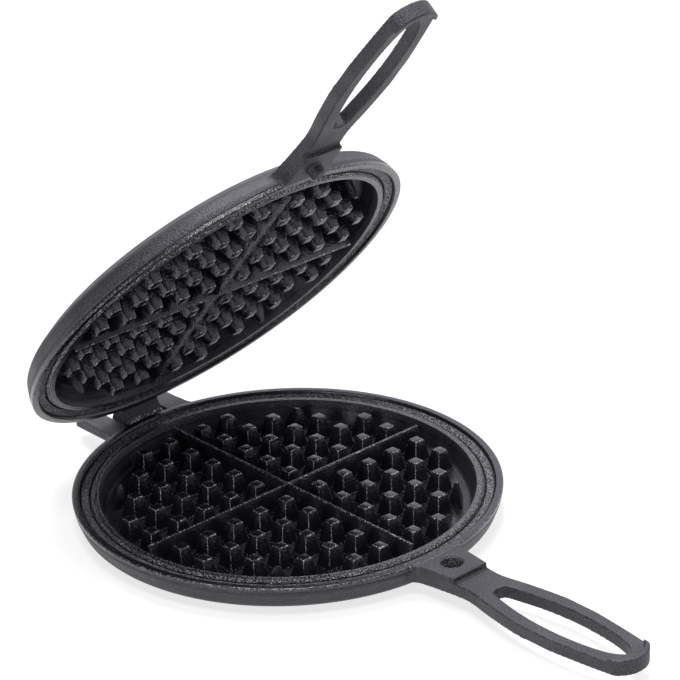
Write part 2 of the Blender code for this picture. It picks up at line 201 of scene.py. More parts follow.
# Dish: one turned shell from the middle of the well round to the middle of the back

headShape = {
    "steps": 224,
    "radius": 0.108,
    "profile": [
        (0, -0.0126, 0),
        (0.0918, -0.0126, 0.0018),
        (0.0946, -0.0010, 0.0004),
        (0.0976, -0.0009, 0.0006),
        (0.0985, -0.0022, 0.0002),
        (0.0990, -0.0036, 0.0001),
        (0.0995, -0.0024, 0.0002),
        (0.1022, -0.0019, 0.0008),
        (0.1034, -0.0013, 0.0003),
        (0.1038, -0.0021, 0.0001),
        (0.1043, faceHeight, 0.0003),
        (0.1080, faceHeight, 0.0007),
        (0.1072, -0.0046, 0.0008),
        (0.1050, -0.0103, 0.0006),
        (0.1033, -0.0121, 0.0008),
        (0.0940, -0.0170, 0.0016),
        (0, -0.0170, 0),
    ],
}


def dish(name, place):
    bm = turned(bmesh.new(), headShape["profile"], headShape["steps"])
    # The spin's joined seam leaves the faces in an order that changes from run to run
    bm.verts.index_update()
    ordered = sorted(bm.faces, key=lambda face: sorted(vert.index for vert in face.verts))
    for index, face in enumerate(ordered):
        face.index = index
    bm.faces.sort()
    return newPiece(name, bm, place, 50)


# Waffle grid: pegs and dividers with rounded edges and a soft foot, sunk a little into the floor

gridShape = {
    "floor": -0.0126,
    "sunk": 0.0006,
    "fullSpeckDepth": 0.0016,
    "sideSpeckShare": 0.35,
    "skirtHeight": 0.0008,
    "skirtWidth": 0.0004,
    "wellRadius": 0.0918,
    "edgeGap": 0.0010,
    "pitch": 0.0169,
    "first": 0.01115,
    "pegTop": 0.0057,
    "pegBase": 0.0105,
    "pegDrop": 0.0009,
    "pegRounding": 0.00055,
    "halvedRounding": 0.6,
    "dividerTop": 0.0012,
    "dividerBase": 0.0060,
    "dividerDrop": 0.0008,
    "dividerReach": 0.0901,
    "dividerRounding": 0.00045,
    "unevenTurn": 1.2,
    "unevenTop": 0.00012,
}


def pegPlaces():
    # Whole pegs where the foot fits in the well, and halved ones on the diagonal
    places = []
    reach = gridShape["wellRadius"] - gridShape["edgeGap"]
    half = gridShape["pegBase"] / 2
    count = int((reach - gridShape["first"]) / gridShape["pitch"]) + 1
    for row in range(count):
        for step in range(count):
            x = gridShape["first"] + step * gridShape["pitch"]
            y = gridShape["first"] + row * gridShape["pitch"]
            whole = math.hypot(x + half, y + half) < reach
            halved = row == step and math.hypot(x + half, y - half) < reach
            if whole or halved:
                for sideX, sideY in ((1, 1), (-1, 1), (1, -1), (-1, -1)):
                    places.append((sideX * x, sideY * y, not whole))
    return places


def softFoot(bm, rounding):
    # Widens the foot into a skirt, then rounds all edges but the foot's own and marks them for bright
    # specks, partly wear and partly painted highlight
    foot = gridShape["floor"] - gridShape["sunk"]
    bmesh.ops.bisect_plane(
        bm, geom=bm.verts[:] + bm.edges[:] + bm.faces[:], dist=tiny / 10,
        plane_co=(0, 0, gridShape["floor"] + gridShape["skirtHeight"]), plane_no=(0, 0, 1),
    )
    for vert in bm.verts:
        if vert.co.z < foot + tiny:
            for axis in (0, 1):
                if abs(vert.co[axis]) > gridShape["skirtWidth"]:
                    vert.co[axis] += math.copysign(gridShape["skirtWidth"], vert.co[axis])
    edges = [edge for edge in bm.edges if max(vert.co.z for vert in edge.verts) > foot + tiny]
    wearAndGlint = bm.faces.layers.float.new("wearAndGlint")
    rounded = bmesh.ops.bevel(
        bm, geom=edges, offset=rounding, segments=3, profile=0.5, affect="EDGES", material=-1,
        clamp_overlap=True,
    )
    fullSpeckFrom = max(vert.co.z for vert in bm.verts) - gridShape["fullSpeckDepth"]
    for face in rounded["faces"]:
        face[wearAndGlint] = 1.0 if face.calc_center_median().z > fullSpeckFrom else gridShape["sideSpeckShare"]


def peg(x, y, halved, chance):
    bm = bmesh.new()
    top = -gridShape["pegDrop"] - chance.uniform(0, gridShape["unevenTop"])
    foot = gridShape["floor"] - gridShape["sunk"]
    depth = gridShape["pegDrop"] + gridShape["floor"]
    flare = (gridShape["pegBase"] - gridShape["pegTop"]) / -depth
    footWidth = gridShape["pegBase"] + flare * gridShape["sunk"]
    turn = Matrix.Translation((0, 0, (top + foot) / 2)) @ Matrix.Rotation(math.pi / 4, 4, "Z")
    bmesh.ops.create_cone(
        bm, cap_ends=True, segments=4, radius1=footWidth / math.sqrt(2),
        radius2=gridShape["pegTop"] / math.sqrt(2), depth=top - foot, matrix=turn,
    )
    if halved:
        outward = Vector((x, y, 0)).normalized() + Vector((0, 0, flare / 2))
        cut = bmesh.ops.bisect_plane(
            bm, geom=bm.verts[:] + bm.edges[:] + bm.faces[:], dist=tiny / 10,
            plane_co=(0, 0, gridShape["floor"]), plane_no=outward, clear_outer=True,
        )
        rim = [part for part in cut["geom_cut"] if isinstance(part, bmesh.types.BMEdge)]
        bmesh.ops.holes_fill(bm, edges=rim, sides=0)
    softFoot(bm, gridShape["pegRounding"] * (gridShape["halvedRounding"] if halved else 1))
    angle = math.radians(chance.uniform(-gridShape["unevenTurn"], gridShape["unevenTurn"]))
    bm.transform(Matrix.Translation((x, y, 0)) @ Matrix.Rotation(angle, 4, "Z"))
    return bm


def divider(angle):
    bm = bmesh.new()
    top = -gridShape["dividerDrop"]
    foot = gridShape["floor"] - gridShape["sunk"]
    flare = (gridShape["dividerBase"] - gridShape["dividerTop"]) / (top - gridShape["floor"])
    footHalf = (gridShape["dividerBase"] + flare * gridShape["sunk"]) / 2
    reach = gridShape["dividerReach"]
    size = Matrix.Diagonal((reach * 2, footHalf * 2, top - foot, 1.0))
    bmesh.ops.create_cube(bm, size=1.0, matrix=Matrix.Translation((0, 0, (top + foot) / 2)) @ size)
    for vert in bm.verts:
        if vert.co.z > foot + tiny:
            vert.co.y *= gridShape["dividerTop"] / 2 / footHalf
    softFoot(bm, gridShape["dividerRounding"])
    bm.transform(Matrix.Rotation(angle, 4, "Z"))
    return bm


def grid(name, place, seed):
    chance = random.Random(seed)
    shapes = [peg(x, y, halved, chance) for x, y, halved in pegPlaces()]
    shapes += [divider(0), divider(math.pi / 2)]
    bm = bmesh.new()
    for shape in shapes:
        mesh = bpy.data.meshes.new(name + "_helper")
        shape.to_mesh(mesh)
        shape.free()
        bm.from_mesh(mesh)
        bpy.data.meshes.remove(mesh)
    return newPiece(name, bm, place)


# Pad and loop handle, cast in one; the lower pad has the stud's hole, the upper one the stud

handleShape = {
    "padLength": 0.021,
    "padThickness": 0.0094,
    "padSeat": 0.0030,
    "padSideAngle": math.radians(7),
    "tightFillet": 0.0030,
    "wideFillet": 0.0065,
    "draft": 0.0026,
    "proud": 0.00002,
    "length": 0.1296,
    "drop": 0.0025,
    "thickness": 0.0063,
    "width": 0.0334,
    "endRadius": 0.0146,
    "endCornerWidth": 0.0236,
    "lipHeight": 0.0015,
    "lipWidth": 0.0030,
    "seat": 0.012,
    "outlineShares": (
        (0.000, 0.672), (0.105, 0.644), (0.255, 0.826), (0.440, 0.992),
        (0.545, 1.000), (0.655, 0.988), (0.880, 0.826),
    ),
    "loopStart": 0.018,
    "loopEndWall": 0.0066,
    "loopSideWall": 0.00665,
    "loopShares": (
        (0.000, 0.000), (0.006, 0.240), (0.022, 0.440), (0.119, 0.640), (0.262, 0.870),
        (0.429, 0.998), (0.619, 0.985), (0.798, 0.815), (0.929, 0.495), (1.000, 0.000),
    ),
    "overrun": 0.002,
    "grain": 0.00040,
    "smoothing": 3,
}
studShape = {
    "x": 0.1167,
    "radius": 0.0044,
    "topRadius": 0.0037,
    "height": 0.0049,
    "rounding": 0.0011,
    "clearance": 0.00135,
    "holeDepth": 0.0068,
    "holeTaper": 0.0020,
    "holeRounding": 0.0010,
    "holeTip": 0.0005,
}


def padSide(fillet, neck, headRadius):
    # One side of the pad from the handle's neck to the rim, with a fillet in the corner there
    angle = handleShape["padSideAngle"]
    outward = Vector((math.sin(angle), math.cos(angle)))
    inward = Vector((-outward.y, outward.x))
    start = Vector(neck) + outward * fillet
    slant = start.dot(inward)
    run = -slant - math.sqrt(slant ** 2 - start.length_squared + (headRadius + fillet) ** 2)
    center = start + inward * run
    headAngle = math.degrees(math.atan2(-center.y, -center.x))
    return [neck] + arcPoints(center, fillet, -90 - math.degrees(angle), headAngle, 10)


def padOutline(neck, inset, growth):
    headRadius = headShape["radius"] - inset
    tightSide = padSide(handleShape["tightFillet"] + growth, neck, headRadius)
    wideSide = padSide(handleShape["wideFillet"] + growth, neck, headRadius)
    tightAngle = math.degrees(math.atan2(tightSide[-1][1], tightSide[-1][0]))
    wideAngle = math.degrees(math.atan2(wideSide[-1][1], wideSide[-1][0]))
    seatRadius = headShape["radius"] - handleShape["padSeat"]
    seat = arcPoints((0, 0), seatRadius, tightAngle, -wideAngle, 12)
    return tightSide + seat + mirrored(wideSide)


def pad(neck, bottom):
    # The sides lean in with the rim's wall towards the underside, so that they grow out of it
    headRadius = headShape["radius"]
    top = faceHeight + handleShape["proud"]
    outline = [Vector(point) for point in padOutline(neck, 0, 0)]
    lowOutline = padOutline(neck, handleShape["draft"], handleShape["draft"])
    bm = slab([outline], -handleShape["padThickness"], top)
    for vert in bm.verts:
        if vert.co.z < bottom:
            gaps = [(vert.co.xy - point).length for point in outline]
            vert.co.xy = lowOutline[gaps.index(min(gaps))]
            if vert.co.x > headRadius:
                share = (vert.co.x - headRadius) / handleShape["padLength"]
                vert.co.z += share * (handleShape["padThickness"] + bottom)
    return bm


def stud():
    top = studShape["height"] + faceHeight
    foot = faceHeight - handleShape["overrun"]
    profile = [
        (0, top, 0),
        (studShape["topRadius"], top, studShape["rounding"]),
        (studShape["radius"], foot, 0),
        (0, foot, 0),
    ]
    bm = turned(bmesh.new(), profile, roundSides)
    bmesh.ops.translate(bm, verts=bm.verts, vec=(studShape["x"], 0, 0))
    return bm


def studHole():
    mouth = studShape["radius"] + studShape["clearance"]
    slope = studShape["holeTaper"] / studShape["holeDepth"]
    over = handleShape["overrun"]
    bottom = faceHeight - studShape["holeDepth"]
    profile = [
        (0, over, 0),
        (mouth + slope * over, over, 0),
        (mouth - studShape["holeTaper"], bottom, studShape["holeRounding"]),
        (0, bottom - studShape["holeTip"], 0),
    ]
    bm = turned(bmesh.new(), profile, roundSides)
    bmesh.ops.translate(bm, verts=bm.verts, vec=(studShape["x"], 0, 0))
    return bm


def handle(name, place, lastStep):
    padEnd = headShape["radius"] + handleShape["padLength"]
    tip = headShape["radius"] + handleShape["length"]
    half = handleShape["width"] / 2
    arcCenter = tip - handleShape["endRadius"]
    cornerHalf = handleShape["endCornerWidth"] / 2
    cornerAngle = math.asin(cornerHalf / handleShape["endRadius"])
    cornerX = arcCenter + handleShape["endRadius"] * math.cos(cornerAngle)
    sides = [
        (padEnd + along * (cornerX - padEnd), wide * half)
        for along, wide in handleShape["outlineShares"]
    ]
    neck = sides[0]
    upperSide = [(padEnd - handleShape["seat"], neck[1])]
    upperSide += smoothPoints(sides + [(cornerX, cornerHalf)], 10)[:-1]
    cornerDegrees = math.degrees(cornerAngle)
    end = arcPoints((arcCenter, 0), handleShape["endRadius"], cornerDegrees, -cornerDegrees, 24)
    loopX = padEnd + handleShape["loopStart"]
    loopLength = tip - handleShape["loopEndWall"] - loopX
    loopHalf = half - handleShape["loopSideWall"]
    loopSide = [
        (loopX + along * loopLength, wide * loopHalf)
        for along, wide in handleShape["loopShares"]
    ]
    loopTop = smoothPoints(loopSide, 8)
    loop = loopTop + mirrored(loopTop)[1:-1]
    bottom = -handleShape["drop"] - handleShape["thickness"]
    lipTop = handleShape["lipHeight"] - handleShape["drop"]
    base = slab([upperSide + end + mirrored(upperSide), loop], bottom, lipTop)

    # All but the lip at the handle's end is lowered to the drop
    beyond = handleShape["width"]
    recessX = padEnd - handleShape["seat"] - handleShape["overrun"]
    lipCenter = arcCenter - handleShape["lipWidth"]
    recess = [(recessX, beyond), (lipCenter, beyond)]
    recess += arcPoints((lipCenter, 0), handleShape["endRadius"], 90, -90, 30)
    recess += [(lipCenter, -beyond), (recessX, -beyond)]
    steps = [
        ("DIFFERENCE", slab([recess], -handleShape["drop"], handleShape["overrun"])),
        ("UNION", pad(neck, bottom)),
        lastStep,
    ]
    return cast(name, base, steps, place, handleShape["grain"], handleShape["smoothing"])


# Hinge: two ears on the lower plate, the knuckle between them on the upper one

hingeShape = {
    "pinRadius": 0.0021,
    "clearance": 0.0003,
    "blindWall": 0.0030,
    "earWidth": 0.0542,
    "earThickness": 0.0076,
    "earReach": 0.1420,
    "earTaper": 0.0008,
    "earCorner": 0.0060,
    "earFillet": 0.0120,
    "earChamfer": 0.0034,
    "earSeat": 0.0080,
    "slotWidth": 0.0280,
    "slotWallGap": 0.0009,
    "knuckleSideGap": 0.0020,
    "knuckleWall": 0.0023,
    "knuckleRise": 0.0006,
    "knuckleNeck": 0.0012,
    "knuckleBackRise": 0.0030,
    "knuckleHeight": 0.0092,
    "knuckleSeat": 0.0040,
    "overrun": 0.002,
    "grain": 0.00035,
    "smoothing": 3,
}


def ears(name, place):
    headRadius = headShape["radius"]
    half = hingeShape["earWidth"] / 2
    reach = hingeShape["earReach"]
    over = hingeShape["overrun"]
    top = hingeShape["earThickness"] / 2 - hingeDrop
    bottom = top - hingeShape["earThickness"]
    filletY = half + hingeShape["earFillet"]
    filletX = -math.sqrt((headRadius + hingeShape["earFillet"]) ** 2 - filletY ** 2)
    headAngle = math.degrees(math.atan2(-filletY, -filletX))
    side = [(hingeShape["earSeat"] - headRadius, filletY)]
    side += arcPoints((filletX, filletY), hingeShape["earFillet"], headAngle, -90, 12)
    cornerY = half - hingeShape["earTaper"] - hingeShape["earCorner"]
    cornerX = hingeShape["earCorner"] - reach
    side += arcPoints((cornerX, cornerY), hingeShape["earCorner"], 90, 180, 12)
    base = slab([side + mirrored(side)], bottom, top)
    steps = []
    chamfer = hingeShape["earChamfer"] / math.sqrt(2)
    for edge in (-half, half):
        low = (-reach - over, edge - chamfer, bottom - chamfer)
        high = (-headRadius + hingeShape["earSeat"], edge + chamfer, bottom + chamfer)
        steps.append(("DIFFERENCE", block(low, high, math.pi / 4)))
    slotHalf = hingeShape["slotWidth"] / 2
    slot = block(
        (-reach - over, -slotHalf, bottom - over),
        (-headRadius - hingeShape["slotWallGap"], slotHalf, top + over),
    )
    boreRadius = hingeShape["pinRadius"] + hingeShape["clearance"]
    bore = rod(boreRadius, hingeShape["blindWall"] - half, half + over, -hingeReach, -hingeDrop)
    steps += [("DIFFERENCE", slot), ("DIFFERENCE", bore)]
    return cast(name, base, steps, place, hingeShape["grain"], hingeShape["smoothing"])


def knuckle(name, place):
    headRadius = headShape["radius"]
    boreRadius = hingeShape["pinRadius"] + hingeShape["clearance"]
    barrel = boreRadius + hingeShape["knuckleWall"]
    neckX = -headRadius - hingeShape["knuckleNeck"]
    wallX = hingeShape["knuckleSeat"] - headRadius
    outline = [(wallX, -hingeShape["knuckleRise"]), (neckX, -hingeShape["knuckleRise"])]
    outline += arcPoints((-hingeReach, hingeDrop), barrel, 0, 180, 20)
    outline.append((-hingeReach - barrel, -hingeShape["knuckleBackRise"]))
    outline.append((wallX, -hingeShape["knuckleHeight"]))
    half = hingeShape["slotWidth"] / 2 - hingeShape["knuckleSideGap"]
    base = slab([outline], -half, half)
    base.transform(Matrix.Rotation(math.pi / 2, 4, "X"))
    through = half + hingeShape["overrun"]
    steps = [("DIFFERENCE", rod(boreRadius, -through, through, -hingeReach, hingeDrop))]
    return cast(name, base, steps, place, hingeShape["grain"], hingeShape["smoothing"])


# Materials

def addNode(tree, kind, inputs=None, **settings):
    node = tree.nodes.new(kind)
    for key, value in settings.items():
        setattr(node, key, value)
    for socket, value in (inputs or {}).items():
        if isinstance(value, bpy.types.NodeSocket):
            tree.links.new(value, node.inputs[socket])
        else:
            node.inputs[socket].default_value = value
    return node


def calc(tree, operation, first, second=0.0):
    return addNode(tree, "ShaderNodeMath", {0: first, 1: second}, operation=operation).outputs[0]


def times(tree, first, second):
    return calc(tree, "MULTIPLY", first, second)


def most(tree, first, second):
    return calc(tree, "MAXIMUM", first, second)


def noise(tree, point, scale, detail):
    inputs = {"Vector": point, "Scale": scale, "Detail": detail}
    return addNode(tree, "ShaderNodeTexNoise", inputs).outputs[0]


def ramp(tree, value, low, high, outLow=0.0, outHigh=1.0):
    # A soft step: outLow up to low, outHigh from high on
    node = addNode(
        tree, "ShaderNodeMapRange", {0: value, 1: low, 2: high, 3: outLow, 4: outHigh},
        interpolation_type="SMOOTHSTEP",
    )
    return node.outputs[0]


def fadeOut(tree, value, low, high):
    return ramp(tree, value, low, high, 1, 0)


def band(tree, value, low, high, soft=0.0003):
    return times(tree, ramp(tree, value, low - soft, low), fadeOut(tree, value, high, high + soft))


def mixColor(tree, share, first, second):
    node = addNode(tree, "ShaderNodeMix", {0: share, 6: first, 7: second}, data_type="RGBA")
    return node.outputs[2]


def mixValue(tree, share, first, second):
    node = addNode(tree, "ShaderNodeMix", {0: share, 2: first, 3: second}, data_type="FLOAT")
    return node.outputs[0]


ironLook = {
    "plain": (0.043, 0.042, 0.049, 1),
    "plainDark": (0.031, 0.031, 0.037, 1),
    "rim": (0.009, 0.009, 0.013, 1),
    "rimBright": (0.030, 0.030, 0.036, 1),
    "well": (0.0065, 0.0063, 0.0096, 1),
    # Bright speck colour: partly wear, partly painted glints and highlights
    "wearAndGlint": (0.40, 0.40, 0.42, 1),
    # Dark pits in the sand, also painted shade in the grooves and low on the wall
    "darkPitsAndShade": (0.006, 0.006, 0.008, 1),
    "shine": (0.93, 0.90, 1.0, 1),
    "refraction": 1.6,
}
# The radii, distances and heights on the plate between which each surface comes in or goes out
ironPlaces = {
    "wellEdge": (0.0944, 0.0952),
    "wellFoot": (-0.0148, -0.0138),
    "oiledEdge": (0.084, 0.091),
    "holeEdge": (0.0058, 0.0064),
    "holeMouth": (-0.0012, -0.0004),
    "faceFoot": (-0.0032, -0.0024),
    "faceEdge": (0.1078, 0.1085),
    "ring": (0.0950, 0.0985),
    "channel": (0.0976, 0.1030),
    "wallTopFoot": (-0.0060, -0.0040),
    "wallTopEdge": (0.1082, 0.1092),
    "ringGroove": (0.0985, 0.0994),
    "landGroove": (0.1033, 0.1044),
    "ringRidge": (0.0949, 0.0952, 0.0002),
    "landRidge": (0.1073, 0.1080, 0.0002),
    "ridgeFoot": (-0.0018, -0.0012),
    "wallShadeDepth": (-0.0110, -0.0030),
    "wallShadeEdge": (0.1085, 0.1090),
    "step": (0.0012, 0.0026),
    "stepFoot": (-0.0036, -0.0027),
    "stepTop": (-0.0004, -0.00005),
    "knuckleStart": (-0.1092, -0.1082),
    "knuckleSide": (0.0124, 0.0130),
    "lineHeight": (0.0050, 0.0072),
    "lineBack": (-0.1117, -0.1111),
    "lineFront": (-0.1000, -0.0900),
    "handleEnd": (0.200, 0.210),
}
# Each noise has a scale and a detail; the rest are the values between which it shows
ironGrain = {
    "blotches": (55.0, 3.0),
    "lumps": (240.0, 2.0),
    "grains": (840.0, 1.0),
    "sand": (1200.0, 1.0),
    "plainBlotches": (0.35, 0.65),
    "plainPits": (0.36, 0.60),
    "channelSand": (0.40, 0.60),
    "faceSand": (0.40, 0.58),
    "grooveGrains": (0.42, 0.62, 1, 0.5),
    "stepRuts": (0.45, 0.60),
    "speckGrains": (0.47, 0.58),
    "speckSand": (0.42, 0.53),
    "glintSpecks": (0.50, 0.60),
    "ringSpecks": (0.52, 0.62, 0, 0.35),
}
ironShares = {
    "landGroove": 0.8,
    "wallTop": 0.6,
    "wellWall": 0.35,
    "knuckle": 0.8,
    "pointed": (0.55, 0.62),
    "edgeWearAndSheenShare": 0.12,
    "ridgeHighlights": 0.4,
    "holeGlints": 0.40,
    "metal": 0.85,
}
ironRoughness = {
    "plain": (0.3, 0.7, 0.56, 0.47),
    "face": (0.4, 0.6, 0.23, 0.17),
    "channel": 0.46,
    "oiled": (0.35, 0.7, 0.17, 0.26),
    "wearAndGlint": 0.32,
}
ironHeights = {
    "plainSand": 0.00042,
    "faceSand": 0.00030,
    "rawGrains": 0.0010,
    "rawSand": 0.0013,
    "oiledLumps": 0.00016,
    "oiledGrains": 0.00016,
    "wornGrains": 0.0002,
    "holeShare": 0.5,
    "wallTopShare": 0.4,
}


def castIron(name, place, wallShade, glintSpecks):
    material = bpy.data.materials.new(name)
    material.use_nodes = True
    tree = material.node_tree
    shader = tree.nodes["Principled BSDF"]
    coordinates = addNode(tree, "ShaderNodeTexCoord").outputs["Object"]
    onPlate = addNode(tree, "ShaderNodeMapping", {0: coordinates}, vector_type="TEXTURE")
    onPlate.inputs["Location"].default_value = place.to_translation()
    onPlate.inputs["Rotation"].default_value = place.to_euler()
    point = onPlate.outputs[0]
    x, y, z = addNode(tree, "ShaderNodeSeparateXYZ", {0: point}).outputs
    across = times(tree, y, y)
    radius = calc(tree, "SQRT", calc(tree, "ADD", times(tree, x, x), across))

    def rises(value, where):
        return ramp(tree, value, *ironPlaces[where])

    def falls(value, where):
        return fadeOut(tree, value, *ironPlaces[where])

    def within(value, where):
        return band(tree, value, *ironPlaces[where])

    # The well, the stud hole, the face with its rough channel, and the top of the wall
    inWell = times(tree, falls(radius, "wellEdge"), rises(z, "wellFoot"))
    notWell = calc(tree, "SUBTRACT", 1.0, inWell)
    studX = calc(tree, "SUBTRACT", x, studShape["x"])
    fromStud = calc(tree, "SQRT", calc(tree, "ADD", times(tree, studX, studX), across))
    inHole = times(tree, falls(fromStud, "holeEdge"), falls(z, "holeMouth"))
    onFace = times(tree, rises(z, "faceFoot"), falls(radius, "faceEdge"))
    onFace = times(tree, onFace, notWell)
    inChannel = times(tree, onFace, within(radius, "channel"))
    wallTop = times(tree, rises(z, "wallTopFoot"), falls(radius, "wallTopEdge"))
    wallTop = times(tree, wallTop, calc(tree, "SUBTRACT", 1.0, onFace))

    # The painted shade in the two grooves, and the painted highlights on the two ridges and along the
    # top of the knuckle
    grooveShade = times(tree, within(radius, "landGroove"), ironShares["landGroove"])
    grooveShade = times(tree, onFace, most(tree, within(radius, "ringGroove"), grooveShade))
    ridgeHighlights = most(tree, within(radius, "ringRidge"), within(radius, "landRidge"))
    ridgeHighlights = times(tree, ridgeHighlights, rises(z, "ridgeFoot"))
    knuckleHighlight = times(tree, rises(x, "lineBack"), falls(x, "lineFront"))
    knuckleHighlight = times(tree, within(z, "lineHeight"), knuckleHighlight)

    blotches = noise(tree, point, *ironGrain["blotches"])
    lumps = noise(tree, point, *ironGrain["lumps"])
    grains = noise(tree, point, *ironGrain["grains"])
    sand = noise(tree, point, *ironGrain["sand"])

    # Plain iron all round, darker low on the wall as painted shade, and bare sandy iron on the face
    blotched = ramp(tree, blotches, *ironGrain["plainBlotches"])
    plain = mixColor(tree, blotched, ironLook["plainDark"], ironLook["plain"])
    pits = fadeOut(tree, sand, *ironGrain["plainPits"])
    plain = mixColor(tree, pits, plain, ironLook["darkPitsAndShade"])
    channelSand = ramp(tree, sand, *ironGrain["channelSand"])
    ground = mixColor(tree, channelSand, ironLook["darkPitsAndShade"], ironLook["rim"])
    faceSand = ramp(tree, sand, *ironGrain["faceSand"])
    raw = mixColor(tree, faceSand, ironLook["rim"], ironLook["rimBright"])
    raw = mixColor(tree, inChannel, ground, raw)
    shadedWall = ramp(tree, z, *ironPlaces["wallShadeDepth"], wallShade, 0)
    shadedWall = times(tree, shadedWall, falls(radius, "wallShadeEdge"))
    plain = mixColor(tree, shadedWall, plain, ironLook["darkPitsAndShade"])
    bared = most(tree, onFace, times(tree, wallTop, ironShares["wallTop"]))
    color = mixColor(tree, bared, plain, raw)
    # The grooves are darkened in dots: painted shade
    grooveShaded = times(tree, grooveShade, ramp(tree, grains, *ironGrain["grooveGrains"]))
    color = mixColor(tree, grooveShaded, color, ironLook["darkPitsAndShade"])

    # The step between pad and handle is left rough and dark
    stepX = headShape["radius"] + handleShape["padLength"]
    fromStep = calc(tree, "ABSOLUTE", calc(tree, "SUBTRACT", x, stepX))
    onStep = times(tree, rises(z, "stepFoot"), falls(z, "stepTop"))
    onStep = times(tree, falls(fromStep, "step"), onStep)
    rutted = times(tree, onStep, fadeOut(tree, grains, *ironGrain["stepRuts"]))
    color = mixColor(tree, rutted, color, ironLook["darkPitsAndShade"])

    # The pegs are seasoned black and glossy; the well's outer wall keeps more of its sandy skin
    oiled = ramp(tree, radius, *ironPlaces["oiledEdge"], 1, ironShares["wellWall"])
    oiled = times(tree, inWell, oiled)
    color = mixColor(tree, most(tree, oiled, inHole), color, ironLook["well"])
    # The knuckle is darkened with the well's colour: painted shade
    aside = calc(tree, "ABSOLUTE", y)
    knuckleShade = times(tree, falls(x, "knuckleStart"), falls(aside, "knuckleSide"))
    knuckleShade = times(tree, knuckleShade, ironShares["knuckle"])
    color = mixColor(tree, knuckleShade, color, ironLook["well"])

    # Bright specks on the edges, partly rubbed wear and partly painted glints; the lines on the
    # ridges and the knuckle and the specks in the channel and the stud hole are painted highlights,
    # and the ring gets bright specks too
    marked = addNode(tree, "ShaderNodeAttribute", attribute_name="wearAndGlint").outputs["Fac"]
    pointiness = addNode(tree, "ShaderNodeNewGeometry").outputs["Pointiness"]
    edgeWearAndSheen = times(tree, ramp(tree, pointiness, *ironShares["pointed"]), notWell)
    edgeWearAndSheen = times(tree, edgeWearAndSheen, falls(x, "handleEnd"))
    wearAndGlintMask = most(tree, marked, times(tree, edgeWearAndSheen, ironShares["edgeWearAndSheenShare"]))
    wearAndGlintMask = most(tree, wearAndGlintMask, times(tree, ridgeHighlights, ironShares["ridgeHighlights"]))
    wearAndGlintMask = most(tree, wearAndGlintMask, knuckleHighlight)
    speckDots = ramp(tree, grains, *ironGrain["speckGrains"])
    speckDots = times(tree, speckDots, ramp(tree, sand, *ironGrain["speckSand"]))
    wearAndGlintMask = times(tree, wearAndGlintMask, speckDots)
    channelGlints = ramp(tree, sand, *ironGrain["glintSpecks"], 0, glintSpecks)
    ringSpecks = ramp(tree, sand, *ironGrain["ringSpecks"])
    ringSpecks = times(tree, within(radius, "ring"), ringSpecks)
    holeGlints = ramp(tree, sand, *ironGrain["glintSpecks"], 0, ironShares["holeGlints"])
    wearAndGlintMask = most(tree, wearAndGlintMask, times(tree, onFace, ringSpecks))
    wearAndGlintMask = most(tree, wearAndGlintMask, times(tree, inChannel, channelGlints))
    wearAndGlintMask = most(tree, wearAndGlintMask, times(tree, inHole, holeGlints))
    color = mixColor(tree, wearAndGlintMask, color, ironLook["wearAndGlint"])
    tree.links.new(color, shader.inputs["Base Color"])
    tree.links.new(times(tree, wearAndGlintMask, ironShares["metal"]), shader.inputs["Metallic"])

    plainRough = ramp(tree, blotches, *ironRoughness["plain"])
    rough = mixValue(tree, onFace, plainRough, ramp(tree, lumps, *ironRoughness["face"]))
    rough = mixValue(tree, inChannel, rough, ironRoughness["channel"])
    rough = mixValue(tree, oiled, rough, ramp(tree, lumps, *ironRoughness["oiled"]))
    rough = mixValue(tree, wearAndGlintMask, rough, ironRoughness["wearAndGlint"])
    tree.links.new(rough, shader.inputs["Roughness"])

    def scaled(value, height):
        return times(tree, value, ironHeights[height])

    rawHeight = calc(tree, "ADD", scaled(grains, "rawGrains"), scaled(sand, "rawSand"))
    oilHeight = calc(tree, "ADD", scaled(lumps, "oiledLumps"), scaled(grains, "oiledGrains"))
    coarse = most(tree, most(tree, inChannel, onStep), scaled(inHole, "holeShare"))
    coarse = most(tree, coarse, scaled(wallTop, "wallTopShare"))
    height = mixValue(tree, onFace, scaled(sand, "plainSand"), scaled(sand, "faceSand"))
    height = mixValue(tree, coarse, height, rawHeight)
    height = mixValue(tree, oiled, height, oilHeight)
    height = calc(tree, "ADD", height, times(tree, marked, scaled(grains, "wornGrains")))
    bump = addNode(tree, "ShaderNodeBump", {"Height": height, "Strength": 1.0, "Distance": 1.0})
    tree.links.new(bump.outputs[0], shader.inputs["Normal"])
    shader.inputs["IOR"].default_value = ironLook["refraction"]
    shader.inputs["Specular Tint"].default_value = ironLook["shine"]
    return material


pinLook = {
    "color": (0.16, 0.16, 0.17, 1),
    "stretch": (1, 0.05, 1),
    "scratches": (2600.0, 2.0),
    "roughness": (0.3, 0.7, 0.30, 0.38),
    "bump": 0.3,
    "scratchDepth": 0.0001,
}


def drawnSteel(name):
    material = bpy.data.materials.new(name)
    material.use_nodes = True
    tree = material.node_tree
    shader = tree.nodes["Principled BSDF"]
    coordinates = addNode(tree, "ShaderNodeTexCoord").outputs["Object"]
    stretch = {0: coordinates, "Scale": pinLook["stretch"]}
    stretched = addNode(tree, "ShaderNodeMapping", stretch).outputs[0]
    lines = noise(tree, stretched, *pinLook["scratches"])
    shader.inputs["Base Color"].default_value = pinLook["color"]
    shader.inputs["Metallic"].default_value = 1.0
    tree.links.new(ramp(tree, lines, *pinLook["roughness"]), shader.inputs["Roughness"])
    scratched = {"Height": lines, "Strength": pinLook["bump"], "Distance": pinLook["scratchDepth"]}
    bump = addNode(tree, "ShaderNodeBump", scratched)
    tree.links.new(bump.outputs[0], shader.inputs["Normal"])
    return material


# The two plates and the pin

